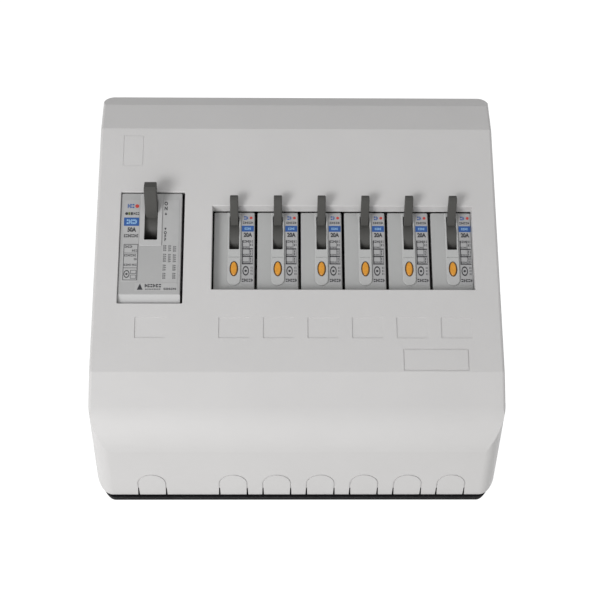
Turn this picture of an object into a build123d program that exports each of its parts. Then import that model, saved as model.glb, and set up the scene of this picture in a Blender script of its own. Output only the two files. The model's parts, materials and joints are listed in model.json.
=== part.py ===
from build123d import *
import os
from dataclasses import dataclass
from math import cos, radians, sin

# A surface-mounted breaker panel box: a black base tray on the wall, a white moulded front cover
# hinged along its top back edge, one wide two-pole main breaker, six narrow branch breakers with
# test buttons, and the rail, busbars and earth bar that serve them.
# Frame: +X to the right as seen from the room, +Z up, and the wall is the plane y = 0. The room
# side is -Y, so most sizes below are given as "out", the distance out from the wall (out = -y).
# The origin is the centre of the four wall screws, on the back face.

# ---- Box ----
WIDTH = 324.0
HEIGHT = 326.5
DEPTH = 90.0
TOP_CORNER_R = 9.0
WALL = 2.5
BASE_DEPTH = 12.0
BASE_RIM = 4.6
SEAM = 0.2
BOTTOM = -160.0
TOP = BOTTOM + HEIGHT
BASE_BOTTOM = BOTTOM - 1.8

# Corners of the cover's side outline as (out, height).
TOP_EDGE = (75.8, TOP)
TOP_FACET_END = (82.3, 156.0)
TOP_CREASE = (DEPTH, 130.0)
LOW_CREASE = (DEPTH, -80.0)
SLOPE_CORNER = (79.9, -127.7)
SLOPE_END = (BASE_DEPTH, BOTTOM)
SLOPE_BLEND_R = 43.0
SHARP_EDGE_R = 2.5
SLOPE_EDGE = (14.0, 21.0)
BASE_CORNER = (15.0, 36.0)
BEHIND = 22.0

# ---- Front cover features ----
MAIN_X = -117.7
BRANCH_PITCH = 35.3
BRANCH_COUNT = 6
BRANCH_X = [-50.7 + BRANCH_PITCH * k for k in range(BRANCH_COUNT)]
LABEL_X = [-115.7] + [-49.75 + 35.05 * k for k in range(BRANCH_COUNT)]
KNOCKOUT_X = [-116.0] + [-50.85 + 35.0 * k for k in range(BRANCH_COUNT)]
MAIN_WINDOW = (-142.6, -90.8, -23.5, 72.7)
BRANCH_WINDOW = (-68.3, 142.0, -11.6, 60.6)
WINDOW_R = 1.0
WINDOW_BEVEL = 0.4
COLLAR_WALL = 1.6
COLLAR_BACK = 82.0
COLLAR_DROP = 1.5
LABEL_SIZE = (24.4, 17.4)
LABEL_Z = -43.6
LABEL_DEPTH = 0.6
NAME_PLATE = (83.0, 134.4, -79.0, -61.0)
CORNER_PLATE = (-142.3, -125.5, 96.0, 124.0)
CORNER_PLATE_DEPTH = 0.3
PLATE_GROOVE = 0.9
KNOCKOUT_WIDTH = 22.3
KNOCKOUT_STRAIGHT = 14.2
KNOCKOUT_GROOVE = 0.9
KNOCKOUT_GROOVE_DEPTH = 0.7
SLIT_WIDE = 1.8
SLIT_NARROW = 0.9
SLIT_LENGTH = 8.0

# ---- Cover hinge ----
HINGE_OUT = BASE_DEPTH + 2.0
HINGE_Z = TOP - 4.4
HINGE_X = (-95.0, 95.0)
HINGE_PIN_R = 1.5
RUNNING_GAP = 0.05
KNUCKLE_R = 3.2
KNUCKLE_LENGTH = 20.0
EAR = 3.0
EAR_GAP = 0.4
SCOOP_R = 5.75

# ---- Base tray and frame ----
FLOOR = 2.5
WALL_HOLE_R = 2.6
WALL_HOLE_X = 130.0
WALL_HOLE_Z = 120.0
REAR_ENTRY = (-80.0, 80.0, -137.0, -103.0)
LIP_OUT = 18.0
LIP_Z = (-96.0, 140.0)
RAIL_Z = 24.0
RAIL_X = (-70.0, 145.0)
RAIL_BACK = 13.5
RAIL_FRONT = 21.0
RAIL_SHEET = 1.0
RAIL_HALF = 17.5
RAIL_CHANNEL_HALF = 13.5
RAIL_POST_X = (-60.0, 37.5, 135.0)
POST_R = 5.0
MAIN_BACK = 20.0
BRACKET_X = (-136.0, -97.0)
BRACKET_Z = (-30.0, 78.0)
BRACKET_FOOT = 12.0
BRACKET_BACK = 6.0
BRACKET_SHEET = 1.5
SCREW_R = 2.0

# ---- Busbars and earth bar ----
BAR_Z = (96.0, 108.0)
BAR_X = (-135.0, 147.0)
LINE_BAR_OUT = 34.0
NEUTRAL_BAR_OUT = 46.0
BAR_SHEET = 2.0
STEP_Z = 90.0
HOLDER_X = (-82.0, 37.5, 144.0)
HOLDER_WIDTH = 9.0
EARTH_BAR = (-30.0, 120.0, 16.0, 25.0, -74.0, -64.0)
EARTH_STAND_X = (-22.0, 112.0)
EARTH_SCREWS = 7

# ---- Breaker cases ----
CASE_WALL = 1.6
CASE_SPLIT = 52.0
SHOULDER = 62.0
TAB_OUT = LINE_BAR_OUT


@dataclass
class Breaker:
    """Sizes of one breaker: distances are out from the wall, heights are from the panel's centre."""

    x: float
    width: float
    back: float
    foot: float
    head: float
    nose_low: float
    nose_high: float
    face: float
    pivot_out: float
    pivot_z: float
    drum_r: float
    drum_width: float
    lever_width: float
    lever_root: float
    lever_tip: float
    lever_length: float
    lever_angle: float
    slot_width: float
    slot_low: float
    slot_high: float
    boss_half: float
    boss_low: float
    boss_high: float
    boss_r: float
    boss_rise: float
    arm_z: float
    contact_z: float
    pole: float
    pole_width: float
    screw_top: float
    screw_low: float
    screw_head_r: float


def main_breaker():
    """The two-pole main breaker, which stands a little left of the middle of its window."""
    return Breaker(
        x=MAIN_X, width=49.4, back=MAIN_BACK, foot=-41.0, head=89.0,
        nose_low=-22.8, nose_high=72.0, face=88.5,
        pivot_out=73.5, pivot_z=49.0, drum_r=13.0, drum_width=18.0,
        lever_width=10.0, lever_root=11.0, lever_tip=9.0, lever_length=40.5, lever_angle=32.3,
        slot_width=10.6, slot_low=31.0, slot_high=66.6,
        boss_half=9.0, boss_low=26.0, boss_high=71.4, boss_r=1.0, boss_rise=0.8,
        arm_z=14.0, contact_z=46.0, pole=12.0, pole_width=11.0,
        screw_top=80.0, screw_low=-32.0, screw_head_r=4.0,
    )


def branch_breaker(x):
    """One compact branch breaker with its test button, centred on x."""
    return Breaker(
        x=x, width=33.0, back=19.0, foot=-25.0, head=73.0,
        nose_low=-14.0, nose_high=58.7, face=81.0,
        pivot_out=69.0, pivot_z=41.0, drum_r=14.2, drum_width=7.6,
        lever_width=6.6, lever_root=6.6, lever_tip=4.8, lever_length=39.0, lever_angle=36.0,
        slot_width=8.0, slot_low=25.6, slot_high=54.7,
        boss_half=5.3, boss_low=-5.1, boss_high=57.9, boss_r=5.2, boss_rise=1.5,
        arm_z=24.0, contact_z=49.0, pole=7.5, pole_width=8.0,
        screw_top=66.5, screw_low=-19.0, screw_head_r=3.0,
    )


BUTTON_Z = 8.9
BUTTON_SIZE = (5.6, 12.0)
BUTTON_HOLE = (7.0, 13.2)
BUTTON_FLANGE = (9.0, 15.2)
BUTTON_BACK = 72.0
BUTTON_PROUD = 0.8
BUTTON_DOME = 1.2
GROOVE_Z = 18.8
STICKER = 0.2
PIN_R = 1.5
ARM_OUT = 50.0
PAD_FRONT = 38.0
CONTACT_GAP = 0.05
COIL_R = 9.0
COIL_TUBE_R = 3.0
COIL_OUT = 33.2


# ---- Shape helpers ----
def at(out, z, x=0.0):
    """The point that stands out from the wall by out, at height z."""
    return Vector(x, -out, z)


def block(x0, x1, out0, out1, z0, z1):
    """A block between two x positions, two distances from the wall and two heights."""
    centre = Pos((x0 + x1) / 2, -(out0 + out1) / 2, (z0 + z1) / 2)
    return centre * Box(x1 - x0, out1 - out0, z1 - z0)


def post(x, z, out0, out1, radius):
    """A round bar that stands out from the wall."""
    return Pos(x, -(out0 + out1) / 2, z) * Rot(90, 0, 0) * Cylinder(radius, out1 - out0)


def axle(x0, x1, out, z, radius):
    """A round bar that runs left to right."""
    return Pos((x0 + x1) / 2, -out, z) * Rot(0, 90, 0) * Cylinder(radius, x1 - x0)


def plate(width, height, radius, out0, out1, x=0.0, z=0.0):
    """A slab parallel to the wall with rounded corners."""
    sketch = Plane.XZ.offset(out0) * Pos(x, z) * RectangleRounded(width, height, radius)
    return extrude(sketch, amount=out1 - out0, dir=(0, -1, 0))


def window(limits, radius, out0, out1, grow=0.0):
    """A slab over limits (x0, x1, z0, z1), made larger all round by grow."""
    x0, x1, z0, z1 = limits
    size = (x1 - x0 + 2 * grow, z1 - z0 + 2 * grow)
    corner = max(radius + grow, 0.3)
    return plate(*size, corner, out0, out1, (x0 + x1) / 2, (z0 + z1) / 2)


def side_slab(points, x0, x1):
    """A slab between x0 and x1 with the side outline points, each (out, height)."""
    outline = Polyline(*[(-out, z) for out, z in points], close=True)
    sketch = Plane.YZ.offset(x0) * make_face(outline)
    return extrude(sketch, amount=x1 - x0, dir=(1, 0, 0))


def oval(width, height, out0, out1, x, z):
    """An upright slab with round ends, parallel to the wall."""
    return plate(width, height, width / 2 - 0.01, out0, out1, x, z)


def ellipse(width, height, out0, out1, x, z):
    """An upright elliptical bar that stands out from the wall."""
    sketch = Plane.XZ.offset(out0) * Pos(x, z) * Ellipse(width / 2, height / 2)
    return extrude(sketch, amount=out1 - out0, dir=(0, -1, 0))


def screw(x, z, tip, seat, shaft_r, head_r, head_height):
    """A slotted screw driven from the front, its tip nearest the wall."""
    body = post(x, z, tip, seat, shaft_r) + post(x, z, seat, seat + head_height, head_r)
    slot_half = head_r * 0.14
    top = seat + head_height
    return body - block(x - head_r, x + head_r, top - 0.9, top + 1, z - slot_half, z + slot_half)


# ---- Front cover ----
def cover_side_outline(inset):
    """The cover's side outline, carried on behind the cover's back edge and moved in by inset."""
    slope = (SLOPE_CORNER[1] - SLOPE_END[1]) / (SLOPE_CORNER[0] - SLOPE_END[0])
    back = BASE_DEPTH - BEHIND
    corners = [
        (back, TOP), TOP_EDGE, TOP_FACET_END, TOP_CREASE, LOW_CREASE, SLOPE_CORNER,
        (back, BOTTOM - BEHIND * slope),
    ]
    face = make_face(Polyline(*[(-out, z) for out, z in corners], close=True))
    place = Vector(-SLOPE_CORNER[0], SLOPE_CORNER[1])
    blended = face.vertices().sort_by_distance(place)[0]
    face = fillet(blended, SLOPE_BLEND_R)
    if inset:
        face = offset(face, amount=-inset, kind=Kind.INTERSECTION)
    return face


def blunt_outline(half, low, high, corner, top_r):
    """A rectangle round x = 0 with corner (across, up) rounding at low and top_r at high."""
    across, up = corner
    top_left, top_right = (-half + top_r, high - top_r), (half - top_r, high - top_r)
    edges = [
        EllipticalCenterArc((-half + across, low + up), across, up, 180, arc_size=90),
        Line((-half + across, low), (half - across, low)),
        EllipticalCenterArc((half - across, low + up), across, up, 270, arc_size=90),
        Line((half, low + up), (half, high - top_r)),
        CenterArc(top_right, top_r, 0, 90),
        Line((half - top_r, high), (-half + top_r, high)),
        CenterArc(top_left, top_r, 90, 90),
        Line((-half, high - top_r), (-half, low + up)),
    ]
    return make_face(edges)


def facet_bar(start, end, corner, inset):
    """A long bar that runs along one facet of the side outline, with rounded outer long edges."""
    first, last = at(*start), at(*end)
    plane = Plane(origin=(first + last) / 2, x_dir=(1, 0, 0), z_dir=first - last)
    reach = 2 * HEIGHT
    rounding = [max(size - inset, 0.5) for size in corner]
    bar = blunt_outline(WIDTH / 2 - inset, inset, reach, rounding, 1.0)
    return extrude(plane * bar, amount=reach, both=True)


def cover_solid(inset):
    """The cover as if it were full, moved in all round by inset."""
    half = WIDTH / 2 - inset
    sketch = Plane.YZ.offset(-half) * cover_side_outline(inset)
    body = extrude(sketch, amount=2 * half, dir=(1, 0, 0))
    corner_r = TOP_CORNER_R - inset
    outline = blunt_outline(half, 2 * BOTTOM, TOP - inset, (1.0, 1.0), corner_r)
    body &= extrude(Plane.XZ.offset(-BEHIND) * outline, amount=BEHIND + DEPTH + 5)
    sharp = (SHARP_EDGE_R, SHARP_EDGE_R)
    facets = [
        (TOP_FACET_END, TOP_CREASE, sharp),
        (TOP_CREASE, LOW_CREASE, sharp),
        (LOW_CREASE, SLOPE_CORNER, sharp),
        (SLOPE_CORNER, SLOPE_END, SLOPE_EDGE),
    ]
    for start, end, corner in facets:
        body &= facet_bar(start, end, corner, inset)
    return body


def slope_plane():
    """The plane of the cover's lower slope: x to the right, y up the slope, z out of the cover."""
    up = at(*SLOPE_CORNER) - at(*SLOPE_END)
    return Plane(origin=at(*SLOPE_END), x_dir=(1, 0, 0), z_dir=Vector(1, 0, 0).cross(up))


def knockout_shape(x, grow):
    """The outline of one knockout in the slope's plane: straight sides and a round top."""
    width = KNOCKOUT_WIDTH + 2 * grow
    sides = Pos(x, (KNOCKOUT_STRAIGHT - 8) / 2) * Rectangle(width, KNOCKOUT_STRAIGHT + 8)
    return sides + Pos(x, KNOCKOUT_STRAIGHT) * Circle(width / 2)


def knockout_cuts():
    """The thin groove round each knockout, and the open slits at the foot of its two sides."""
    plane = slope_plane()
    cuts = []
    for x in KNOCKOUT_X:
        half_groove = KNOCKOUT_GROOVE / 2
        ring = knockout_shape(x, half_groove) - knockout_shape(x, -half_groove)
        cuts.append(extrude(plane * ring, amount=-KNOCKOUT_GROOVE_DEPTH))
        for side in (-1, 1):
            edge = x + side * KNOCKOUT_WIDTH / 2
            slit = Polyline(
                (edge - SLIT_WIDE / 2, -4), (edge + SLIT_WIDE / 2, -4),
                (edge + SLIT_NARROW / 2, SLIT_LENGTH), (edge - SLIT_NARROW / 2, SLIT_LENGTH),
                close=True,
            )
            cuts.append(extrude(plane * make_face(slit), amount=2 * WALL, both=True))
    return cuts


def cover_recesses():
    """Shallow recesses in the flat front: the seven label fields and the two blank plates."""
    floor = DEPTH - LABEL_DEPTH
    cuts = [plate(*LABEL_SIZE, 0.8, floor, DEPTH + 1, x, LABEL_Z) for x in LABEL_X]
    for limits, depth in ((NAME_PLATE, LABEL_DEPTH), (CORNER_PLATE, CORNER_PLATE_DEPTH)):
        frame = window(limits, 0.8, DEPTH - depth, DEPTH + 1)
        middle = window(limits, 0.8, DEPTH - depth - 1, DEPTH + 2, -PLATE_GROOVE)
        cuts.append(frame - middle)
    return cuts


def hinge_knuckle(x):
    """The part of the cover that turns on one hinge pin."""
    return axle(x - KNUCKLE_LENGTH / 2, x + KNUCKLE_LENGTH / 2, HINGE_OUT, HINGE_Z, KNUCKLE_R)


def ear_slots(x):
    """Notches in the cover's top wall that clear the base's two hinge ears at x."""
    slots = []
    for side in (-1, 1):
        middle = x + side * (KNUCKLE_LENGTH / 2 + EAR_GAP + EAR / 2)
        half = EAR / 2 + EAR_GAP
        front = HINGE_OUT + KNUCKLE_R + 1.0
        slots.append(block(middle - half, middle + half, 0, front, HINGE_Z - 4, TOP + 1))
    return slots


def branch_window_cut():
    """The space inside the collar: its top wall slopes down towards the breakers."""
    x0, x1, low, high = BRANCH_WINDOW
    back, front = COLLAR_BACK, DEPTH
    drop = COLLAR_DROP / (front - back)
    outline = [(back - 1, high - COLLAR_DROP - drop), (front + 1, high + drop)]
    outline += [(front + 1, low), (back - 1, low)]
    space = window(BRANCH_WINDOW, WINDOW_R, back - 1, front + 1, 0.5)
    return space & side_slab(outline, x0, x1)


def softened_windows(cover):
    """The cover with a small bevel round the front edge of both windows."""
    front = cover.faces().filter_by(Axis.Y).sort_by(Axis.Y)[0]
    return chamfer([edge for wire in front.inner_wires() for edge in wire.edges()], WINDOW_BEVEL)


def front_cover():
    """The one-piece moulded cover with its windows, collar, recesses, knockouts and knuckles."""
    cover = cover_solid(0) - cover_solid(WALL)
    back = BASE_DEPTH + SEAM
    cover &= block(-WIDTH, WIDTH, back, DEPTH + 1, BOTTOM - 1, TOP + 1)
    collar = window(BRANCH_WINDOW, WINDOW_R, COLLAR_BACK, DEPTH - 1, COLLAR_WALL)
    cover += collar
    cover -= branch_window_cut()
    cover -= window(MAIN_WINDOW, WINDOW_R, DEPTH - 5, DEPTH + 1)
    cover = softened_windows(cover)
    for cut in cover_recesses() + knockout_cuts():
        cover -= cut
    for x in HINGE_X:
        cover += hinge_knuckle(x)
        cover -= axle(x - 15, x + 15, HINGE_OUT, HINGE_Z, HINGE_PIN_R + RUNNING_GAP)
        for slot in ear_slots(x):
            cover -= slot
    return cover


# ---- Base tray ----
def hinge_ear(x):
    """One ear that stands from the base's floor and holds a hinge pin."""
    ear = axle(x - EAR / 2, x + EAR / 2, HINGE_OUT, HINGE_Z, KNUCKLE_R)
    ear += block(x - EAR / 2, x + EAR / 2, FLOOR - 1, HINGE_OUT, HINGE_Z - KNUCKLE_R, HINGE_Z + 1)
    return ear - axle(x - EAR, x + EAR, HINGE_OUT, HINGE_Z, HINGE_PIN_R)


def ear_positions():
    """The x positions of the four hinge ears."""
    reach = KNUCKLE_LENGTH / 2 + EAR_GAP + EAR / 2
    return [x + side * reach for x in HINGE_X for side in (-1, 1)]


def bracket_screw_places():
    """The four screws that hold the main breaker's bracket to the base, as (x, z)."""
    heights = (BRACKET_Z[0] - BRACKET_FOOT / 2, BRACKET_Z[1] + BRACKET_FOOT / 2)
    return [(x, z) for x in (BRACKET_X[0] + 8, BRACKET_X[1] - 8) for z in heights]


def base_slab(inset, out0, out1):
    """A slab with the base's outline, moved in all round by inset."""
    half, low, high = WIDTH / 2 - inset, BASE_BOTTOM + inset, TOP - inset
    corner = [size - inset for size in BASE_CORNER]
    outline = blunt_outline(half, low, high, corner, TOP_CORNER_R - inset)
    return extrude(Plane.XZ.offset(out0) * outline, amount=out1 - out0)


def base_tray():
    """The black tray that screws to the wall, with its rim, lips, posts and hinge ears."""
    tray = base_slab(0, 0, BASE_DEPTH) - base_slab(BASE_RIM, FLOOR, BASE_DEPTH + 1)
    for side in (-1, 1):
        near, far = sorted((side * (WIDTH / 2 - 3.0), side * (WIDTH / 2 - BASE_RIM)))
        tray += block(near, far, BASE_DEPTH - 1, LIP_OUT, *LIP_Z)
    tray -= axle(-WIDTH, WIDTH, HINGE_OUT, HINGE_Z, SCOOP_R)
    for x in ear_positions():
        tray += hinge_ear(x)
    for x in RAIL_POST_X:
        tray += post(x, RAIL_Z, FLOOR - 1, RAIL_BACK, POST_R)
        tray -= post(x, RAIL_Z, FLOOR + 1, RAIL_BACK + 1, SCREW_R)
    for x, z in bracket_screw_places():
        tray += post(x, z, FLOOR - 1, BRACKET_BACK, POST_R)
        tray -= post(x, z, 1.0, BRACKET_BACK + 1, SCREW_R)
    for x in (-WALL_HOLE_X, WALL_HOLE_X):
        for z in (-WALL_HOLE_Z, WALL_HOLE_Z):
            tray -= post(x, z, -1, FLOOR + 1, WALL_HOLE_R)
    return tray - window(REAR_ENTRY, 6.0, -1, FLOOR + 1)


def hinge_pins():
    """The two steel pins that the cover hangs on."""
    reach = KNUCKLE_LENGTH / 2 + EAR_GAP + EAR
    return [axle(x - reach, x + reach, HINGE_OUT, HINGE_Z, HINGE_PIN_R) for x in HINGE_X]


# ---- Frame inside the box ----
def din_rail():
    """A 35 mm top-hat rail, 7.5 mm deep."""
    x0, x1 = RAIL_X
    channel = RAIL_CHANNEL_HALF
    back = RAIL_BACK + RAIL_SHEET
    rail = block(x0, x1, RAIL_BACK, back, RAIL_Z - channel, RAIL_Z + channel)
    for side in (-1, 1):
        low, high = sorted((side * channel, side * (channel - RAIL_SHEET)))
        rail += block(x0, x1, RAIL_BACK, RAIL_FRONT, RAIL_Z + low, RAIL_Z + high)
        low, high = sorted((side * (channel - RAIL_SHEET), side * RAIL_HALF))
        rail += block(x0, x1, RAIL_FRONT - RAIL_SHEET, RAIL_FRONT, RAIL_Z + low, RAIL_Z + high)
    for x in RAIL_POST_X:
        rail -= post(x, RAIL_Z, RAIL_BACK - 1, back + 1, SCREW_R)
    return rail


def main_bracket():
    """The folded steel bracket that lifts the main breaker to its window."""
    x0, x1 = BRACKET_X
    z0, z1 = BRACKET_Z
    sheet, front = BRACKET_SHEET, MAIN_BACK
    outline = [
        (BRACKET_BACK, z0 - BRACKET_FOOT), (BRACKET_BACK + sheet, z0 - BRACKET_FOOT),
        (BRACKET_BACK + sheet, z0 - sheet), (front, z0 - sheet),
        (front, z1 + sheet), (BRACKET_BACK + sheet, z1 + sheet),
        (BRACKET_BACK + sheet, z1 + BRACKET_FOOT), (BRACKET_BACK, z1 + BRACKET_FOOT),
        (BRACKET_BACK, z1), (front - sheet, z1), (front - sheet, z0), (BRACKET_BACK, z0),
    ]
    bracket = side_slab(outline, x0, x1)
    for x, z in bracket_screw_places():
        bracket -= post(x, z, 0, BRACKET_BACK + 3, SCREW_R)
    for x, z in main_fixing_places():
        bracket -= post(x, z, front - 3, front + 1, SCREW_R)
    return bracket


def main_fixing_places():
    """The two screws that hold the main breaker on its bracket, as (x, z)."""
    return [(BRACKET_X[0] + 8, BRACKET_Z[0] + 12), (BRACKET_X[1] - 8, BRACKET_Z[1] - 12)]


def frame_screws():
    """All the screws that hold the rail, the bracket and the main breaker."""
    rail_seat = RAIL_BACK + RAIL_SHEET
    screws = [screw(x, RAIL_Z, FLOOR + 1, rail_seat, SCREW_R, 3.6, 2.2) for x in RAIL_POST_X]
    foot_seat = BRACKET_BACK + BRACKET_SHEET
    for x, z in bracket_screw_places():
        screws.append(screw(x, z, 1.0, foot_seat, SCREW_R, 3.6, 2.2))
    under = MAIN_BACK - BRACKET_SHEET
    for x, z in main_fixing_places():
        shaft = post(x, z, under, MAIN_BACK + CASE_WALL, SCREW_R)
        screws.append(shaft + post(x, z, under - 2.2, under, 3.6))
    return screws


# ---- Busbars and earth bar ----
def tab(x, width, low):
    """One flat tab of the line bar, down to the height low."""
    return block(x - width / 2, x + width / 2, TAB_OUT, TAB_OUT + BAR_SHEET, low, BAR_Z[0] + 1)


def stepped_tab(x, width, low):
    """One tab of the neutral bar, stepped back under the line bar and then down to low."""
    x0, x1 = x - width / 2, x + width / 2
    front = NEUTRAL_BAR_OUT + BAR_SHEET
    tab_solid = block(x0, x1, NEUTRAL_BAR_OUT, front, STEP_Z, BAR_Z[0] + 1)
    tab_solid += block(x0, x1, TAB_OUT, front, STEP_Z, STEP_Z + BAR_SHEET)
    return tab_solid + block(x0, x1, TAB_OUT, TAB_OUT + BAR_SHEET, low, STEP_Z + BAR_SHEET)


def busbar(out, tab_maker, side, breakers):
    """A copper bar across the head of the breakers, with one tab into each."""
    bar = block(*BAR_X, out, out + BAR_SHEET, *BAR_Z)
    for b in breakers:
        bar += tab_maker(b.x + side * b.pole, b.pole_width - 1, b.screw_top - 4)
    return bar


def bar_holders():
    """Insulating posts that stand on the base and grip both bars."""
    holders = []
    for x in HOLDER_X:
        x0, x1 = x - HOLDER_WIDTH / 2, x + HOLDER_WIDTH / 2
        low, high = BAR_Z[0] + 1, BAR_Z[1] + 3
        holder = block(x0, x1, FLOOR, NEUTRAL_BAR_OUT + 8, low, high)
        for out in (LINE_BAR_OUT, NEUTRAL_BAR_OUT):
            holder -= block(x0 - 1, x1 + 1, out, out + BAR_SHEET, low - 1, BAR_Z[1])
        foot = block(x0, x1, FLOOR, FLOOR + 4, low - 8, high + 8)
        holders.append(holder + foot)
    return holders


def earth_bar():
    """The brass earth bar, drilled for its clamping screws."""
    bar = block(*EARTH_BAR)
    for x in earth_screw_x():
        bar -= post(x, earth_z(), EARTH_BAR[3] - 6, EARTH_BAR[3] + 1, 1.8)
    for x in EARTH_STAND_X:
        bar -= post(x, earth_z(), EARTH_BAR[2] - 1, EARTH_BAR[3] + 1, SCREW_R)
    return bar


def earth_z():
    """The height of the earth bar's middle."""
    return (EARTH_BAR[4] + EARTH_BAR[5]) / 2


def earth_screw_x():
    """The x positions of the wire screws, evenly spaced between the two stands."""
    step = (EARTH_STAND_X[1] - EARTH_STAND_X[0]) / (EARTH_SCREWS + 1)
    return [EARTH_STAND_X[0] + step * (k + 1) for k in range(EARTH_SCREWS)]


def earth_stands():
    """The two plastic stands that keep the earth bar off the base."""
    stands = []
    for x in EARTH_STAND_X:
        z = earth_z()
        stand = block(x - 7, x + 7, FLOOR, EARTH_BAR[2], z - 7, z + 7)
        stands.append(stand - post(x, z, FLOOR + 3, EARTH_BAR[2] + 1, SCREW_R))
    return stands


def earth_screws():
    """The earth bar's wire screws and its two fixing screws."""
    front = EARTH_BAR[3]
    screws = [screw(x, earth_z(), front - 6, front, 1.8, 4.2, 2.4) for x in earth_screw_x()]
    for x in EARTH_STAND_X:
        screws.append(screw(x, earth_z(), FLOOR + 3, front, SCREW_R, 3.6, 2.2))
    return screws


# ---- Breaker cases ----
def case_limits(b, inset=0.0):
    """Left, right, foot and head of a breaker's case, moved in by inset."""
    half = b.width / 2 - inset
    return b.x - half, b.x + half, b.foot + inset, b.head - inset


def case_base(b, on_rail):
    """The rear half of a breaker's case: a tub with wire entries at its head and foot."""
    tub = window(case_limits(b), 1.0, b.back, CASE_SPLIT)
    floor = b.back + CASE_WALL
    if on_rail:
        notch = RAIL_HALF + 0.2
        tub -= block(b.x - 20, b.x + 20, b.back - 1, RAIL_FRONT, RAIL_Z - notch, RAIL_Z + notch)
        floor = RAIL_FRONT + CASE_WALL
    inner = window(case_limits(b, CASE_WALL), 0.5, b.back + CASE_WALL, CASE_SPLIT + 1)
    if on_rail:
        reach = notch + CASE_WALL
        inner -= block(b.x - 20, b.x + 20, b.back, floor, RAIL_Z - reach, RAIL_Z + reach)
    tub -= inner
    half = b.pole + b.pole_width / 2
    tub -= block(b.x - half, b.x + half, TAB_OUT - 3, TAB_OUT + 6, b.head - 4, b.head + 1)
    tub -= block(b.x - half, b.x + half, TAB_OUT - 1, TAB_OUT + 9, b.foot - 1, b.foot + 4)
    if not on_rail:
        for x, z in main_fixing_places():
            tub -= post(x, z, b.back - 1, b.back + CASE_WALL + 1, SCREW_R)
    return tub


def softened(solid, size):
    """The solid with the edges of its front face bevelled."""
    front = solid.faces().sort_by(Axis.Y)[0]
    return chamfer(front.edges(), size)


def nose(b):
    """The block of a breaker's case that stands forward to the window."""
    x0, x1, _, _ = case_limits(b)
    return softened(window((x0, x1, b.nose_low, b.nose_high), 1.2, CASE_SPLIT, b.face), 0.5)


def boss(b):
    """The raised strip round the lever's slot, rounded at its foot and cut square at its head."""
    x0, x1 = b.x - b.boss_half, b.x + b.boss_half
    back, front = b.face - 1, b.face + b.boss_rise
    strip = window((x0, x1, b.boss_low, b.boss_high + 15), b.boss_r, back, front)
    strip &= block(x0, x1, back, front, b.boss_low, b.boss_high)
    return softened(strip, 0.4)


def screw_wells(b):
    """Round holes in the case's shoulders, over the terminal screws."""
    radius = b.screw_head_r + 0.4
    places = [(side * b.pole, z) for side in (-1, 1) for z in (b.screw_top, b.screw_low)]
    return [post(b.x + dx, z, SHOULDER - 5, SHOULDER + 1, radius) for dx, z in places]


def case_cover(b):
    """The front half of a breaker's case, with the slot that the lever moves in."""
    shell = window(case_limits(b), 1.0, CASE_SPLIT, SHOULDER) + nose(b)
    x0, x1, foot, head = case_limits(b, CASE_WALL)
    shell -= window((x0, x1, foot, head), 0.5, CASE_SPLIT - 1, SHOULDER - CASE_WALL)
    inner = (x0, x1, b.nose_low + CASE_WALL, b.nose_high - CASE_WALL)
    shell -= window(inner, 0.5, CASE_SPLIT - 1, b.face - CASE_WALL)
    shell += boss(b)
    slot = (b.x - b.slot_width / 2, b.x + b.slot_width / 2, b.slot_low, b.slot_high)
    shell -= window(slot, 0.8, b.face - 4, b.face + 4)
    for well in screw_wells(b):
        shell -= well
    return shell


def main_case_cover(b):
    """The main breaker's front half, with a bevelled lip along the foot of its face."""
    x0, x1, _, _ = case_limits(b, CASE_WALL / 2)
    shell = case_cover(b)
    shell += block(x0, x1, b.face - 4.6, b.face - 1, b.nose_low + 1, b.nose_low + 9)
    lip = [
        (b.face + 1, b.nose_low + 7.6), (b.face, b.nose_low + 7.6),
        (b.face - 3.0, b.nose_low - 1), (b.face + 1, b.nose_low - 1),
    ]
    return shell - side_slab(lip, b.x - b.width, b.x + b.width)


def branch_case_cover(b):
    """A branch breaker's front half, with the elliptical hole of its test button."""
    shell = case_cover(b)
    shell -= ellipse(*BUTTON_HOLE, b.face - 4, b.face + 4, b.x, BUTTON_Z)
    front = b.face + b.boss_rise
    groove = block(b.x - 4.4, b.x + 4.4, front - 0.5, front + 1, GROOVE_Z - 0.3, GROOVE_Z + 0.3)
    return shell - groove


# ---- Breaker moving parts ----
def lever_outline(b):
    """Side outline of the lever's arm, from its pivot to its tip."""
    angle = radians(b.lever_angle)
    root, tip, end = b.lever_root / 2, b.lever_tip / 2, b.lever_length
    local = [(0, -root), (end - 1.6, -tip), (end, -tip + 1.6), (end, tip), (0, root)]
    points = []
    for along, across in local:
        out = b.pivot_out + along * cos(angle) - across * sin(angle)
        points.append((out, b.pivot_z + along * sin(angle) + across * cos(angle)))
    return points


def handle(b):
    """The operating lever: a drum on its pin, and the arm that reaches through the slot."""
    half = b.lever_width / 2
    arm = side_slab(lever_outline(b), b.x - half, b.x + half)
    arm = fillet(arm.edges().filter_by(Axis.X, reverse=True), 0.7)
    half = b.drum_width / 2
    drum = axle(b.x - half, b.x + half, b.pivot_out, b.pivot_z, b.drum_r)
    return drum + arm - axle(b.x - half - 1, b.x + half + 1, b.pivot_out, b.pivot_z,
                             PIN_R + RUNNING_GAP)


def test_button(b):
    """The domed push button, with a flange behind the case that stops it falling out."""
    front = b.face + b.boss_rise + BUTTON_PROUD
    button = ellipse(*BUTTON_SIZE, BUTTON_BACK, front, b.x, BUTTON_Z)
    button = fillet(button.faces().sort_by(Axis.Y)[0].edges(), BUTTON_DOME)
    inner_face = b.face - CASE_WALL
    return button + oval(*BUTTON_FLANGE, inner_face - 1.6, inner_face - 0.3, b.x, BUTTON_Z)


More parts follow.
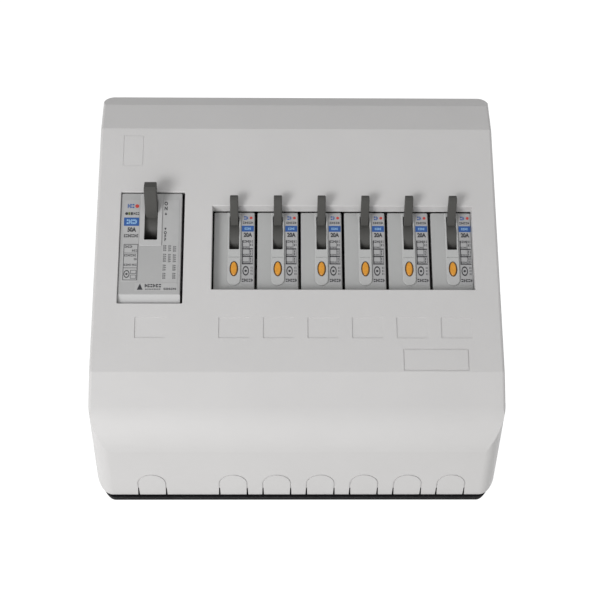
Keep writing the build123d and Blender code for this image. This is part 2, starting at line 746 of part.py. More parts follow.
def contact_arm(b):
    """The insulated shaft with one moving contact for each pole."""
    reach = b.pole + 3.0
    arm = axle(b.x - reach, b.x + reach, ARM_OUT, b.arm_z, 3.4)
    back = PAD_FRONT + CONTACT_GAP
    for side in (-1, 1):
        x = b.x + side * b.pole
        outline = [
            (ARM_OUT - 3, b.arm_z), (back + 2, b.contact_z - 4), (back + 2, b.contact_z + 3),
            (back + 5, b.contact_z + 3), (ARM_OUT + 1, b.arm_z),
        ]
        arm += side_slab(outline, x - 2, x + 2)
        arm += post(x, b.contact_z, back, back + 2.5, 2.2)
    return arm - axle(b.x - reach - 1, b.x + reach + 1, ARM_OUT, b.arm_z, PIN_R + RUNNING_GAP)


def pivot_pins(b):
    """The lever's pin and the contact shaft's pin, held between the case's side walls."""
    x0, x1, _, _ = case_limits(b, CASE_WALL)
    lever_pin = axle(x0, x1, b.pivot_out, b.pivot_z, PIN_R)
    return [lever_pin, axle(x0, x1, ARM_OUT, b.arm_z, PIN_R)]


# ---- Breaker inner parts that stay still ----
def fixed_contacts(b):
    """For each pole, the strip from the head terminal and the contact it carries."""
    strips = []
    for side in (-1, 1):
        x, half = b.x + side * b.pole, b.pole_width / 2 - 0.5
        strip = block(x - half, x + half, TAB_OUT - 1.6, TAB_OUT, b.contact_z - 5, b.head - 2)
        strips.append(strip + post(x, b.contact_z, TAB_OUT - 1, PAD_FRONT, 2.4))
    return strips


def load_terminals(b):
    """For each pole, the foot terminal's plate and the conductor that rises from it."""
    plates = []
    for side in (-1, 1):
        x, half = side * b.pole, b.pole_width / 2
        back, front = TAB_OUT - 1.6, TAB_OUT
        near, far = sorted((b.x + x - half, b.x + x + half))
        flat = block(near, far, back, front, b.foot + 2, b.foot + 17)
        inner, outer = sorted((b.x + side * 2.0, b.x + side * (b.pole - half + 1.5)))
        plates.append(flat + block(inner, outer, back, front, b.foot + 16, b.arm_z - 5))
    return plates


def arc_chutes(b):
    """For each pole, a stack of steel splitter plates over the contact gap."""
    plates = []
    low = b.contact_z + 6.5
    for side in (-1, 1):
        x, half = b.x + side * b.pole, b.pole_width / 2 - 0.5
        for k in range(6):
            out = PAD_FRONT + 4.0 + 2.6 * k
            plates.append(block(x - half, x + half, out, out + 0.8, low, low + 8))
    return plates


def current_coil(b):
    """The residual-current ring round both conductors."""
    z = b.foot + 25.0
    return Pos(b.x, -COIL_OUT, z) * Torus(COIL_R, COIL_TUBE_R)


def test_leaf(b):
    """The bent contact leaf that the test button meets at the end of its travel."""
    z, back = BUTTON_Z, BUTTON_BACK
    outline = [
        (back - 2.4, z - 5), (back - 2.4, z + 5), (back - 2.8, z + 5),
        (back - 2.8, z - 4.6), (CASE_SPLIT + 3, z - 4.6), (CASE_SPLIT + 3, z - 5),
    ]
    return side_slab(outline, b.x - 2, b.x + 2)


def terminal_screws(b):
    """The head screws, tight on the busbar tabs, and the foot screws, backed out for wires."""
    radius = b.screw_head_r
    screws = []
    for side in (-1, 1):
        x = b.x + side * b.pole
        screws.append(screw(x, b.screw_top, TAB_OUT + BAR_SHEET, 56, radius * 0.6, radius, 2.4))
        screws.append(screw(x, b.screw_low, TAB_OUT + 10, 57.6, radius * 0.6, radius, 2.4))
    return screws


def main_stickers(b):
    """The printed stickers beside the main breaker's lever and across the foot of its face."""
    front = b.face + STICKER
    left = (b.x - 22.4, b.x - b.boss_half - 0.6, -5.0, 66.0)
    right = (b.x + b.boss_half + 0.6, b.x + 22.4, -5.0, 66.0)
    foot = (b.x - 11.4, b.x + 22.4, -12.6, -5.6)
    return [window(limits, 0.5, b.face, front) for limits in (left, right, foot)]


def branch_sticker(b):
    """The printed sticker to the right of a branch breaker's raised strip."""
    limits = (b.x + b.boss_half + 0.7, b.x + 15.8, -4.5, 57.9)
    return window(limits, 0.4, b.face, b.face + STICKER)


# ---- Export ----
def save(name, shape):
    """Writes one node, either a single solid or a group of separate solids."""
    if isinstance(shape, list):
        shape = Compound(children=shape)
    export_step(shape, f"parts/{name}.step")


def save_main(b):
    """Writes the main breaker's own nodes."""
    save("main_case_base", case_base(b, on_rail=False))
    save("main_case_cover", main_case_cover(b))
    save("main_handle", handle(b))
    save("main_contact_arm", contact_arm(b))
    save("main_pivot_pins", pivot_pins(b))
    save("main_fixed_contacts", fixed_contacts(b))
    save("main_load_terminals", load_terminals(b))
    save("main_arc_chutes", arc_chutes(b))
    save("main_terminal_screws", terminal_screws(b))
    save("main_stickers", main_stickers(b))


def save_branches(branches):
    """Writes five nodes for each branch breaker, and the small parts as shared groups."""
    for number, b in enumerate(branches, start=1):
        save(f"branch_{number}_case_base", case_base(b, on_rail=True))
        save(f"branch_{number}_case_cover", branch_case_cover(b))
        save(f"branch_{number}_handle", handle(b))
        save(f"branch_{number}_test_button", test_button(b))
        save(f"branch_{number}_contact_arm", contact_arm(b))
    save("branch_pivot_pins", [pin for b in branches for pin in pivot_pins(b)])
    save("branch_fixed_contacts", [c for b in branches for c in fixed_contacts(b)])
    save("branch_load_terminals", [t for b in branches for t in load_terminals(b)])
    save("branch_arc_chutes", [p for b in branches for p in arc_chutes(b)])
    save("branch_current_coils", [current_coil(b) for b in branches])
    save("branch_test_leaves", [test_leaf(b) for b in branches])
    save("branch_terminal_screws", [s for b in branches for s in terminal_screws(b)])
    save("branch_stickers", [branch_sticker(b) for b in branches])


def save_panel(breakers):
    """Writes the cover, the base and everything that the breakers stand on or connect to."""
    save("front_cover", front_cover())
    save("base_tray", base_tray())
    save("hinge_pins", hinge_pins())
    save("din_rail", din_rail())
    save("main_bracket", main_bracket())
    save("frame_screws", frame_screws())
    save("busbar_line", busbar(LINE_BAR_OUT, tab, -1, breakers))
    save("busbar_neutral", busbar(NEUTRAL_BAR_OUT, stepped_tab, 1, breakers))
    save("busbar_holders", bar_holders())
    save("earth_bar", earth_bar())
    save("earth_stands", earth_stands())
    save("earth_screws", earth_screws())


os.makedirs("parts", exist_ok=True)
main = main_breaker()
branches = [branch_breaker(x) for x in BRANCH_X]
save_panel([main] + branches)
save_main(main)
save_branches(branches)
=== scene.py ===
import bmesh
import bpy
import json
import math
from mathutils import Matrix, Vector


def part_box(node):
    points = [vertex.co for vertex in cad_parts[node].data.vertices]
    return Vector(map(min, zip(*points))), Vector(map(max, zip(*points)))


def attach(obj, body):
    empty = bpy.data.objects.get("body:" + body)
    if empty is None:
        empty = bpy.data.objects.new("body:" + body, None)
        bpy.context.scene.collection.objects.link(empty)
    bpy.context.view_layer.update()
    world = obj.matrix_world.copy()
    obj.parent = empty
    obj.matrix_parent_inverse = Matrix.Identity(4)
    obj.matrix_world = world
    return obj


# The breaker panel box's looks: the camera, the studio, a material for every node, and the printed
# marks on the breakers. Metres, +Z up, the wall is y = 0 and the room is on the -Y side.

MM = 0.001

CAMERA_PLACE = (-0.0154, -1.1212, -0.3929)
CAMERA_PITCH = 19.85
CAMERA_YAW = 0.98
CAMERA_ROLL = -0.24
CAMERA_LENS = 83.1

FLOOR_Z = -1.9
FLOOR_HALF_SIZE = 6.0
FLOOR_COLOUR = (0.82, 0.82, 0.81)
FLOOR_ROUGHNESS = 0.7

# The world's strength, which falls from low to high, and is the same all over behind the box.
STRENGTH_BELOW = 1.12
STRENGTH_ABOVE = 0.42
STRENGTH_BEHIND = 1.35

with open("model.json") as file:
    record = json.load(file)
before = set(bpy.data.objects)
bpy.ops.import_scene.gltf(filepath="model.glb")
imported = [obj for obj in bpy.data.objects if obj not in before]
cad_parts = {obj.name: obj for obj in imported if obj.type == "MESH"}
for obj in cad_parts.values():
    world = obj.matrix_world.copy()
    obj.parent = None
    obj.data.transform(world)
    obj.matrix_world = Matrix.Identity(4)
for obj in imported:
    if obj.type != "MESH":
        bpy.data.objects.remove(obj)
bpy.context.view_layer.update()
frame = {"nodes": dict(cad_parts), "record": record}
nodes = frame["nodes"]
BRANCHES = range(1, 7)


# ---- Camera and studio ----
def make_camera():
    """A long lens below the box's middle, looking up at it from the front."""
    camera = bpy.data.objects.new("camera", bpy.data.cameras.new("camera"))
    bpy.context.scene.collection.objects.link(camera)
    camera.data.sensor_width = 36.0
    camera.data.lens = CAMERA_LENS
    camera.data.clip_end = 50.0
    pitch, yaw, roll = map(math.radians, (CAMERA_PITCH, CAMERA_YAW, CAMERA_ROLL))
    turn = Matrix.Rotation(-yaw, 4, "Z") @ Matrix.Rotation(math.pi / 2 + pitch, 4, "X")
    turn = turn @ Matrix.Rotation(roll, 4, "Z")
    camera.matrix_world = Matrix.Translation(CAMERA_PLACE) @ turn
    bpy.context.scene.camera = camera


def make_floor():
    """A plain pale floor, well below the box on its wall."""
    bm = bmesh.new()
    bmesh.ops.create_grid(bm, x_segments=1, y_segments=1, size=FLOOR_HALF_SIZE)
    mesh = bpy.data.meshes.new("floor")
    bm.to_mesh(mesh)
    bm.free()
    floor = bpy.data.objects.new("floor", mesh)
    floor.location.z = FLOOR_Z
    bpy.context.scene.collection.objects.link(floor)
    mesh.materials.append(floor_material())


def make_light(name, place, target, size, watts):
    """A square area light at place that points at target, size across."""
    data = bpy.data.lights.new(name, "AREA")
    data.size = size
    data.energy = watts
    light = bpy.data.objects.new(name, data)
    light.location = place
    aim = Vector(target) - Vector(place)
    light.rotation_euler = aim.to_track_quat("-Z", "Y").to_euler()
    bpy.context.scene.collection.objects.link(light)


def make_world():
    """A white studio that is brighter below and behind than above and in front."""
    world = bpy.data.worlds.new("studio")
    world.use_nodes = True
    tree = world.node_tree
    tree.nodes.clear()
    direction = tree.nodes.new("ShaderNodeTexCoord")
    split = tree.nodes.new("ShaderNodeSeparateXYZ")
    tree.links.new(direction.outputs["Generated"], split.inputs[0])
    low = tree.nodes.new("ShaderNodeMapRange")
    low.inputs["From Min"].default_value = -0.7
    low.inputs["From Max"].default_value = 0.75
    low.inputs["To Min"].default_value = STRENGTH_BELOW
    low.inputs["To Max"].default_value = STRENGTH_ABOVE
    tree.links.new(split.outputs["Z"], low.inputs["Value"])
    back = tree.nodes.new("ShaderNodeMapRange")
    back.inputs["From Min"].default_value = 0.05
    back.inputs["From Max"].default_value = 0.35
    tree.links.new(split.outputs["Y"], back.inputs["Value"])
    blend = tree.nodes.new("ShaderNodeMix")
    blend.inputs["B"].default_value = STRENGTH_BEHIND
    tree.links.new(back.outputs["Result"], blend.inputs["Factor"])
    tree.links.new(low.outputs["Result"], blend.inputs["A"])
    light = tree.nodes.new("ShaderNodeBackground")
    tree.links.new(blend.outputs["Result"], light.inputs["Strength"])
    out = tree.nodes.new("ShaderNodeOutputWorld")
    tree.links.new(light.outputs[0], out.inputs["Surface"])
    bpy.context.scene.world = world


def make_studio():
    """The white world, the floor, a soft key light from the lower left and a bounce from below."""
    make_world()
    make_floor()
    make_light("key", (-1.2, -1.45, -0.95), (0.0, -0.05, 0.0), 0.7, 20.5)
    make_light("bounce", (-0.7, -1.0, -1.35), (0.0, -0.05, -0.1), 1.0, 4.6)
    bpy.context.scene.view_settings.view_transform = "Standard"


# ---- Materials ----
# A noise pattern lies mostly between these two values.
PATTERN_LOW = 0.3
PATTERN_HIGH = 0.7

# Scales of patterns, in cells to the metre.
CLOUDS = 22.0
GLOSS_PATCHES = 160.0
GRAIN = 3200.0
STAINS = 60.0
DRAWN_LINES = 900.0
SWIRL = 500.0
RIPPLE = 90.0
WIRE_TURNS = 700.0


def new_material(name):
    """An empty node material: (material, tree, its Principled node)."""
    material = bpy.data.materials.new(name)
    material.use_nodes = True
    tree = material.node_tree
    return material, tree, tree.nodes["Principled BSDF"]


def floor_material():
    """The floor's own plain material."""
    material, _, shader = new_material("floor")
    shader.inputs["Base Color"].default_value = (*FLOOR_COLOUR, 1)
    shader.inputs["Roughness"].default_value = FLOOR_ROUGHNESS
    return material


def noise(tree, scale, detail=2.0, stretch=(1, 1, 1)):
    """A noise pattern in the object's own metres, scale cells to the metre."""
    place = tree.nodes.new("ShaderNodeTexCoord")
    mapping = tree.nodes.new("ShaderNodeMapping")
    mapping.inputs["Scale"].default_value = stretch
    pattern = tree.nodes.new("ShaderNodeTexNoise")
    pattern.inputs["Scale"].default_value = scale
    pattern.inputs["Detail"].default_value = detail
    tree.links.new(place.outputs["Object"], mapping.inputs["Vector"])
    tree.links.new(mapping.outputs["Vector"], pattern.inputs["Vector"])
    return pattern.outputs["Fac"]


def ramp(tree, source, low, high):
    """Maps a pattern between two colours."""
    node = tree.nodes.new("ShaderNodeValToRGB")
    node.color_ramp.elements[0].position = PATTERN_LOW
    node.color_ramp.elements[1].position = PATTERN_HIGH
    node.color_ramp.elements[0].color = (*low, 1)
    node.color_ramp.elements[1].color = (*high, 1)
    tree.links.new(source, node.inputs["Fac"])
    return node.outputs["Color"]


def spread(tree, source, low, high):
    """Maps a pattern between two values."""
    node = tree.nodes.new("ShaderNodeMapRange")
    node.inputs["From Min"].default_value = PATTERN_LOW
    node.inputs["From Max"].default_value = PATTERN_HIGH
    node.inputs["To Min"].default_value = low
    node.inputs["To Max"].default_value = high
    tree.links.new(source, node.inputs["Value"])
    return node.outputs["Result"]


def add_bump(tree, shader, source, height, strength):
    """Raises the surface by a pattern, height metres from low to high."""
    node = tree.nodes.new("ShaderNodeBump")
    node.inputs["Distance"].default_value = height
    node.inputs["Strength"].default_value = strength
    tree.links.new(source, node.inputs["Height"])
    tree.links.new(node.outputs["Normal"], shader.inputs["Normal"])


def shade(colour, factor):
    """The colour, made lighter or darker."""
    return tuple(min(1.0, c * factor) for c in colour)


def blend_by(tree, factor, first, second):
    """Mixes two colour outputs by a factor output."""
    node = tree.nodes.new("ShaderNodeMix")
    node.data_type = "RGBA"
    tree.links.new(factor, node.inputs["Factor"])
    tree.links.new(first, node.inputs["A"])
    tree.links.new(second, node.inputs["B"])
    return node.outputs["Result"]


def less_than(tree, axis, limit):
    """One where the object's own coordinate along axis is under limit, and nought elsewhere."""
    place = tree.nodes.new("ShaderNodeTexCoord")
    split = tree.nodes.new("ShaderNodeSeparateXYZ")
    tree.links.new(place.outputs["Object"], split.inputs[0])
    test = tree.nodes.new("ShaderNodeMath")
    test.operation = "LESS_THAN"
    test.inputs[1].default_value = limit
    tree.links.new(split.outputs[axis], test.inputs[0])
    return test.outputs[0]


def both(tree, first, second):
    """One where two masks are both one."""
    node = tree.nodes.new("ShaderNodeMath")
    node.operation = "MULTIPLY"
    tree.links.new(first, node.inputs[0])
    tree.links.new(second, node.inputs[1])
    return node.outputs[0]


def moulded(name, colour, roughness, height=0.00002, cloud=0.02, step=None, painted_light_lip=None, shine=0.5):
    """Moulded plastic: a fine spark-eroded grain, and faint clouding of colour and gloss.

    height is the grain's depth, cloud the share by which the colour varies, and shine the
    shader's specular level. step is (out, factor): what stands further than out from the wall is
    paler by factor. The last argument, (out, height, factor), does the same, but only lower than
    that height: a painted highlight, for a bevel that faces down towards the light from below.
    """
    material, tree, shader = new_material(name)
    shader.inputs["Specular IOR Level"].default_value = shine
    clouds = noise(tree, CLOUDS, 3.0)
    tone = ramp(tree, clouds, shade(colour, 1 - cloud), shade(colour, 1 + cloud))
    masks = []
    if step:
        masks.append((less_than(tree, "Y", -step[0]), step[1]))
    if painted_light_lip:
        low = both(tree, less_than(tree, "Y", -painted_light_lip[0]), less_than(tree, "Z", painted_light_lip[1]))
        masks.append((low, painted_light_lip[2]))
    for mask, factor in masks:
        paler = ramp(tree, clouds, shade(colour, factor - cloud), shade(colour, factor + cloud))
        tone = blend_by(tree, mask, tone, paler)
    tree.links.new(tone, shader.inputs["Base Color"])
    patches = noise(tree, GLOSS_PATCHES)
    gloss = spread(tree, patches, roughness - 0.05, roughness + 0.06)
    tree.links.new(gloss, shader.inputs["Roughness"])
    add_bump(tree, shader, noise(tree, GRAIN, 1.0), height, 0.6)
    return material


def metal(name, colour, roughness, stretch, tarnish=0.12):
    """Drawn or plated metal: fine lines along the part, and uneven tarnish."""
    material, tree, shader = new_material(name)
    shader.inputs["Metallic"].default_value = 1.0
    stains = noise(tree, STAINS, 4.0)
    tone = ramp(tree, stains, shade(colour, 1 - tarnish), shade(colour, 1.04))
    tree.links.new(tone, shader.inputs["Base Color"])
    lines = noise(tree, DRAWN_LINES, 2.0, stretch)
    gloss = spread(tree, lines, roughness - 0.08, roughness + 0.12)
    tree.links.new(gloss, shader.inputs["Roughness"])
    add_bump(tree, shader, lines, 0.00001, 0.5)
    return material


def winding(name, colour):
    """The varnished winding of a current coil: turns of wire round the ring."""
    material, tree, shader = new_material(name)
    shader.inputs["Roughness"].default_value = 0.3
    wave = tree.nodes.new("ShaderNodeTexWave")
    wave.inputs["Scale"].default_value = WIRE_TURNS
    wave.inputs["Distortion"].default_value = 1.5
    place = tree.nodes.new("ShaderNodeTexCoord")
    tree.links.new(place.outputs["Object"], wave.inputs["Vector"])
    tone = ramp(tree, wave.outputs["Fac"], shade(colour, 0.4), shade(colour, 1.4))
    tree.links.new(tone, shader.inputs["Base Color"])
    add_bump(tree, shader, wave.outputs["Fac"], 0.0001, 0.8)
    return material


def lens(name, shaded_edge, middle):
    """A clear coloured button with painted light: painted shade in a deep colour where its rounded
    edge turns away from the front, and a painted highlight in a bright colour on its flat top.
    """
    material, tree, shader = new_material(name)
    shader.inputs["Roughness"].default_value = 0.25
    place = tree.nodes.new("ShaderNodeTexCoord")
    split = tree.nodes.new("ShaderNodeSeparateXYZ")
    tree.links.new(place.outputs["Normal"], split.inputs[0])
    # How far the surface faces the front: this blends the painted shade at the edge into the
    # painted highlight on the top.
    facing = tree.nodes.new("ShaderNodeMapRange")
    facing.inputs["From Min"].default_value = -0.55
    facing.inputs["From Max"].default_value = -1.0
    tree.links.new(split.outputs["Y"], facing.inputs["Value"])
    swirl = noise(tree, SWIRL, 1.0)
    painted_shade = ramp(tree, swirl, shade(shaded_edge, 0.9), shade(shaded_edge, 1.1))
    painted_light = ramp(tree, swirl, shade(middle, 0.93), shade(middle, 1.04))
    tone = blend_by(tree, facing.outputs["Result"], painted_shade, painted_light)
    tree.links.new(tone, shader.inputs["Base Color"])
    add_bump(tree, shader, swirl, 0.00001, 0.3)
    return material


def film(name, colour, roughness=0.32):
    """Printed film: smooth, with a faint ripple where it was pressed down."""
    material, tree, shader = new_material(name)
    ripple = noise(tree, RIPPLE)
    tone = ramp(tree, ripple, shade(colour, 0.96), shade(colour, 1.02))
    tree.links.new(tone, shader.inputs["Base Color"])
    shader.inputs["Roughness"].default_value = roughness
    add_bump(tree, shader, ripple, 0.00003, 0.4)
    return material


# How drawn metal's lines are stretched: along the part, or not at all.
ALONG_X = (0.02, 1, 1)
NO_GRAIN = (1, 1, 1)

# The boss round each breaker's lever is what stands further out than this, and is paler.
BRANCH_BOSS_OUT = 81.3 * MM
MAIN_BOSS_OUT = 88.8 * MM
# The main breaker's bevelled lip stands further out than MAIN_LIP_OUT, and below MAIN_LIP_TOP. It
# is painted paler: a painted highlight for the light from below that its downward bevel catches.
MAIN_LIP_OUT = 84 * MM
MAIN_LIP_TOP = -15.6 * MM

SLOT_MATERIALS = {
    "cover_white": moulded("cover_white", (0.60, 0.592, 0.59), 0.42, cloud=0.012),
    "base_black": moulded("base_black", (0.007, 0.007, 0.008), 0.6, 0.00004, 0.15, shine=0.03),
    "case_light": moulded("case_light", (0.43, 0.433, 0.43), 0.38, step=(BRANCH_BOSS_OUT, 1.13)),
    "lever_grey": moulded("lever_grey", (0.062, 0.061, 0.057), 0.46, cloud=0.08),
    # The amber button's two colours are painted shade at its edge and a painted highlight on its
    # top.
    "button_amber": lens("button_amber", (0.32, 0.14, 0.03), (0.74, 0.32, 0.03)),
    "steel": metal("steel", (0.55, 0.55, 0.52), 0.36, ALONG_X),
    "screw_steel": metal("screw_steel", (0.58, 0.57, 0.50), 0.32, NO_GRAIN),
    "arc_steel": metal("arc_steel", (0.36, 0.35, 0.34), 0.45, ALONG_X),
    "copper": metal("copper", (0.75, 0.36, 0.20), 0.33, ALONG_X, tarnish=0.25),
    "brass": metal("brass", (0.78, 0.57, 0.22), 0.3, ALONG_X, tarnish=0.2),
    "insulator": moulded("insulator", (0.55, 0.52, 0.46), 0.5, cloud=0.04),
    "insulator_dark": moulded("insulator_dark", (0.05, 0.05, 0.055), 0.45, cloud=0.1),
    "coil": winding("coil", (0.30, 0.12, 0.04)),
    "sticker": film("sticker", (0.445, 0.445, 0.445)),
}


def paint_nodes():
    """Gives every CAD node the material of its slot in the record, and two nodes their own."""
    for entry in frame["record"]["subparts"]:
        mesh = nodes[entry["node"]].data
        mesh.materials.clear()
        mesh.materials.append(SLOT_MATERIALS[entry["material_slot"]])
    nodes["branch_stickers"].data.materials[0] = film("sticker_grey", (0.41, 0.41, 0.415))
    boss = (MAIN_BOSS_OUT, 1.18)
    # Painted highlight: the main breaker's downward lip is made paler by 1.32, in place of the
    # light it catches from below.
    painted_light_lip = (MAIN_LIP_OUT, MAIN_LIP_TOP, 1.32)
    wide_case_painted_lip = moulded("case_wide_painted_lip", (0.41, 0.41, 0.41), 0.38, step=boss, painted_light_lip=painted_light_lip)
    nodes["main_case_cover"].data.materials[0] = wide_case_painted_lip


# ---- Printed marks ----
INK = {
    "black": film("ink_black", (0.035, 0.035, 0.04), 0.4),
    "blue": film("ink_blue", (0.028, 0.10, 0.33), 0.35),
    "red": film("ink_red", (0.55, 0.05, 0.04), 0.35),
    "pale": film("ink_pale", (0.28, 0.48, 0.72), 0.4),
    "grey": film("ink_grey", (0.07, 0.07, 0.075), 0.4),
    "olive": film("ink_olive", (0.13, 0.16, 0.04), 0.4),
}
INK_THICKNESS = 0.03 * MM
STICKER_CLEARANCE = 0.01 * MM
ROUND_SIDES = 28
WELD = 0.0005 * MM
MAIN_PRINT_SHIFT = 0.7


class Print:
    """Flat printed shapes in millimetres, gathered by colour on one plane parallel to the wall.

    Every x counts from middle, the middle of the breaker that is being printed on.
    """

    def __init__(self, name, plane_y):
        self.name = name
        self.plane_y = plane_y
        self.middle = 0.0
        self.meshes = {colour: bmesh.new() for colour in INK}

    def corner(self, colour, x, z, layer):
        """A new vertex at x and z, in front of the plane by a number of ink layers."""
        place = ((self.middle + x) * MM, self.plane_y - layer * INK_THICKNESS, z * MM)
        return self.meshes[colour].verts.new(place)

    def loop(self, colour, points, layer=0):
        """A filled outline; a higher layer lies on top of a lower one."""
        bm = self.meshes[colour]
        rear = [self.corner(colour, x, z, layer) for x, z in points]
        face = [self.corner(colour, x, z, layer + 1) for x, z in points]
        bm.faces.new(face)
        bm.faces.new(list(reversed(rear)))
        for k, vertex in enumerate(face):
            after = (k + 1) % len(face)
            bm.faces.new((vertex, rear[k], rear[after], face[after]))

    def bar(self, colour, x, z, width, height, layer=0):
        """A filled rectangle round its middle point."""
        w, h = width / 2, height / 2
        corners = [(x - w, z - h), (x + w, z - h), (x + w, z + h), (x - w, z + h)]
        self.loop(colour, corners, layer)

    def outline(self, colour, x, z, width, height, line):
        """The four sides of a rectangle, as four thin bars."""
        for side in (-1, 1):
            self.bar(colour, x + side * (width - line) / 2, z, line, height)
            self.bar(colour, x, z + side * (height - line) / 2, width - 2 * line, line)

    def ring(self, colour, x, z, radius, line, tall=1.0):
        """A round line, as one closed flat band, stretched upwards by tall."""
        step = 2 * math.pi / ROUND_SIDES
        inner = radius - line
        sections = []
        for k in range(ROUND_SIDES):
            c, s = math.cos(k * step), math.sin(k * step)
            section = [self.corner(colour, x + r * c, z + tall * r * s, layer)
                       for r, layer in ((radius, 0), (radius, 1), (inner, 1), (inner, 0))]
            sections.append(section)
        for k, section in enumerate(sections):
            after = sections[(k + 1) % ROUND_SIDES]
            for j in range(4):
                n = (j + 1) % 4
                self.meshes[colour].faces.new((section[j], section[n], after[n], after[j]))

    def disc(self, colour, x, z, radius):
        """A filled circle."""
        step = 2 * math.pi / ROUND_SIDES
        points = [(x + radius * math.cos(k * step), z + radius * math.sin(k * step))
                  for k in range(ROUND_SIDES)]
        self.loop(colour, points)

    def triangle(self, colour, x, z, width, height):
        """A triangle that points up, or down where height is negative."""
        w, h = width / 2, height / 2
        points = [(x - w, z - h), (x + w, z - h), (x, z + h)]
        if height < 0:
            points.reverse()
        self.loop(colour, points)

    def glyphs(self, colour, x, z, width, height, count, layer=0):
        """A row of strokes, dashes and dots that aren't letters, like print too small to read."""
        pitch = width / count
        w, line = pitch * 0.78, min(height, pitch) * 0.34
        for k in range(count):
            middle = x - width / 2 + pitch * (k + 0.5)
            left, right = middle - (w - line) / 2, middle + (w - line) / 2
            kind = (k * 7 + count) % 3
            if kind == 0:
                self.bar(colour, left, z, line, height, layer)
                self.bar(colour, right, z, line, height * 0.6, layer)
            elif kind == 1:
                self.bar(colour, left, z, line, height, layer)
                self.bar(colour, right, z + height * 0.3, line, height * 0.36, layer)
                self.bar(colour, right, z - height * 0.3, line, height * 0.36, layer)
            else:
                self.bar(colour, middle, z + height * 0.31, w, height * 0.34, layer)
                self.bar(colour, middle, z - height * 0.31, w, height * 0.34, layer)

    def column(self, colour, x, z, width, height, count):
        """Glyphs stacked in a column, as in a line of print turned on its side."""
        pitch = height / count
        for k in range(count):
            if k % 5 != 3:
                self.glyphs(colour, x, z + height / 2 - pitch * (k + 0.5), width, pitch * 0.74, 2)

    def words(self, colour, text, x, z, height, narrow=0.8):
        """A few plain bold letters or figures, centred on x and z."""
        curve = bpy.data.curves.new("words", "FONT")
        curve.body = text
        curve.align_x = "CENTER"
        curve.align_y = "CENTER"
        curve.size = height * MM * 1.4
        curve.offset = height * MM * 0.07
        curve.extrude = INK_THICKNESS / 2
        curve.resolution_u = 4
        holder = bpy.data.objects.new("words", curve)
        bpy.context.scene.collection.objects.link(holder)
        graph = bpy.context.evaluated_depsgraph_get()
        mesh = bpy.data.meshes.new_from_object(holder.evaluated_get(graph))
        place = ((self.middle + x) * MM, self.plane_y - INK_THICKNESS / 2, z * MM)
        upright = Matrix.Rotation(math.pi / 2, 4, "X") @ Matrix.Diagonal((narrow, 1, 1, 1))
        mesh.transform(Matrix.Translation(place) @ upright)
        letters = bmesh.new()
        letters.from_mesh(mesh)
        bmesh.ops.remove_doubles(letters, verts=letters.verts, dist=WELD)
        letters.to_mesh(mesh)
        letters.free()
        self.meshes[colour].from_mesh(mesh)
        bpy.data.objects.remove(holder)
        bpy.data.curves.remove(curve)
        bpy.data.meshes.remove(mesh)

    def finish(self):
        """Makes one piece for each colour that was used."""
        for colour, bm in self.meshes.items():
            if bm.faces:
                bmesh.ops.recalc_face_normals(bm, faces=bm.faces)
                mesh = bpy.data.meshes.new(f"{self.name}_{colour}")
                bm.to_mesh(mesh)
                mesh.materials.append(INK[colour])
                piece = bpy.data.objects.new(mesh.name, mesh)
                bpy.context.scene.collection.objects.link(piece)
                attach(piece, "panel")
            bm.free()


def sticker_front(node):
    """The plane of a sticker node's front face, a hair in front of it."""
    low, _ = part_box(node)
    return low.y - STICKER_CLEARANCE


def handle_middle(node):
    """The x position of a lever, which stands in the middle of its breaker, in millimetres."""
    low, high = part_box(node)
    return (low.x + high.x) / 2 / MM


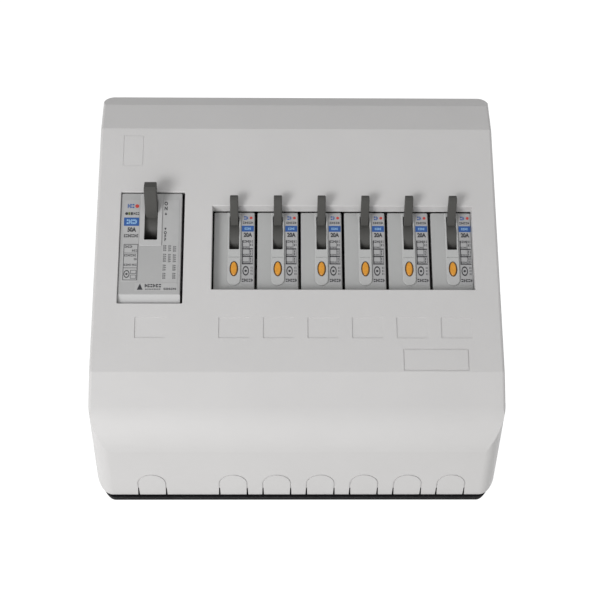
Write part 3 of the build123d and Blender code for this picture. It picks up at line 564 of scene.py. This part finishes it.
def print_main():
    """The main breaker's marks: rating and table on the left, ON and OFF on the right."""
    on = Print("main_print", sticker_front("main_stickers"))
    on.middle = handle_middle("main_handle") + MAIN_PRINT_SHIFT
    # Head of the left label: blue strokes and a red disc, a row of small marks, the blue block.
    on.glyphs("blue", -17.4, 60.7, 5.8, 3.7, 3)
    on.disc("red", -12.4, 60.6, 1.6)
    on.disc("black", -20.7, 54.0, 1.25)
    on.bar("olive", -18.5, 54.0, 1.6, 2.5)
    on.bar("black", -16.5, 54.0, 1.6, 2.5)
    on.glyphs("black", -12.9, 54.0, 4.9, 2.5, 3)
    on.bar("blue", -16.5, 46.9, 12.2, 7.3)
    on.glyphs("pale", -16.3, 46.9, 8.6, 4.2, 5, layer=1)
    on.words("black", "50A", -16.2, 39.8, 3.6)
    on.glyphs("black", -16.5, 34.6, 11.8, 2.8, 7)
    # The boxed table with its round mark.
    on.outline("grey", -16.2, 11.9, 11.6, 31.0, 0.5)
    on.glyphs("grey", -18.2, 25.2, 6.4, 2.1, 5)
    on.glyphs("grey", -13.2, 21.8, 4.4, 1.9, 3)
    on.bar("grey", -16.2, 19.7, 10.6, 0.35)
    on.glyphs("grey", -16.6, 17.7, 9.6, 2.1, 7)
    on.glyphs("grey", -12.4, 14.4, 2.6, 1.8, 2)
    on.glyphs("grey", -18.5, 9.6, 5.8, 1.8, 4)
    on.glyphs("grey", -13.1, 9.6, 4.0, 1.8, 3)
    on.bar("grey", -16.2, 6.9, 10.6, 0.45)
    on.ring("grey", -18.9, 1.7, 2.4, 0.65, 1.4)
    on.disc("grey", -18.9, 1.7, 0.95)
    on.outline("grey", -13.6, 3.5, 4.8, 3.2, 0.4)
    on.outline("grey", -13.6, -0.6, 4.8, 3.2, 0.4)
    # Right label: ON and OFF with their arrows, then turned lines of print.
    on.words("black", "O", 11.0, 62.7, 3.0)
    on.words("black", "N", 11.0, 58.5, 3.0)
    on.triangle("black", 11.0, 54.1, 1.9, 2.3)
    on.triangle("black", 11.0, 40.5, 1.9, -2.3)
    for k, letter in enumerate("OFF"):
        on.words("black", letter, 11.0, 37.2 - 3.0 * k, 2.4)
    on.column("grey", 10.9, 15.6, 2.8, 22.4, 12)
    on.column("grey", 10.9, -0.8, 2.8, 7.4, 4)
    on.column("grey", 14.8, 18.2, 2.4, 17.0, 9)
    on.column("grey", 18.8, 15.2, 2.8, 21.6, 12)
    on.column("grey", 18.8, -0.8, 2.8, 7.4, 4)
    # Foot: a triangle and two lines of print.
    on.triangle("black", -7.9, -9.0, 4.6, 5.4)
    on.glyphs("black", 2.4, -8.2, 13.4, 2.9, 6)
    on.glyphs("grey", 2.4, -11.2, 12.4, 1.2, 9)
    on.glyphs("black", 16.0, -10.9, 10.2, 1.8, 7)
    on.finish()


def print_branch(on):
    """One branch breaker's marks, on the narrow label to the right of its lever."""
    # Head: blue strokes and a red disc, a row of small marks, the blue block and the rating.
    on.glyphs("blue", 9.4, 53.6, 3.6, 3.4, 2)
    on.disc("red", 13.5, 53.7, 1.2)
    on.glyphs("black", 10.9, 49.4, 8.6, 2.0, 5)
    on.bar("blue", 10.9, 44.2, 9.7, 5.2)
    on.glyphs("pale", 10.9, 44.2, 5.4, 2.0, 4, layer=1)
    on.words("black", "20A", 10.9, 38.6, 3.5)
    # The table: four lines with print between them, and a column of signs on the right.
    on.glyphs("black", 9.5, 33.0, 5.8, 2.1, 4)
    on.bar("grey", 6.8, 23.6, 0.8, 20.6)
    on.bar("grey", 12.3, 23.6, 0.4, 20.6)
    for z in (26.5, 20.0, 13.6):
        on.bar("black", 10.8, z, 8.8, 1.0)
        on.glyphs("grey", 9.5, z + 1.5, 4.8, 1.3, 4)
    for z in (33.0, 30.0, 24.4, 22.0, 18.0, 15.6):
        on.glyphs("black", 14.1, z, 2.7, 2.0, 1)
    on.ring("black", 9.5, 7.5, 2.6, 0.75, 1.6)
    on.disc("black", 9.5, 7.5, 1.0)
    for z in (10.2, 7.6, 5.0):
        on.glyphs("black", 14.3, z, 2.1, 1.6, 1)
    on.glyphs("black", 10.9, -0.6, 9.2, 2.7, 5)


def print_branches():
    """The marks of all six branch breakers, as one piece for each colour."""
    marks = Print("branch_print", sticker_front("branch_stickers"))
    for number in BRANCHES:
        marks.middle = handle_middle(f"branch_{number}_handle")
        print_branch(marks)
    marks.finish()


make_camera()
make_studio()
paint_nodes()
print_main()
print_branches()
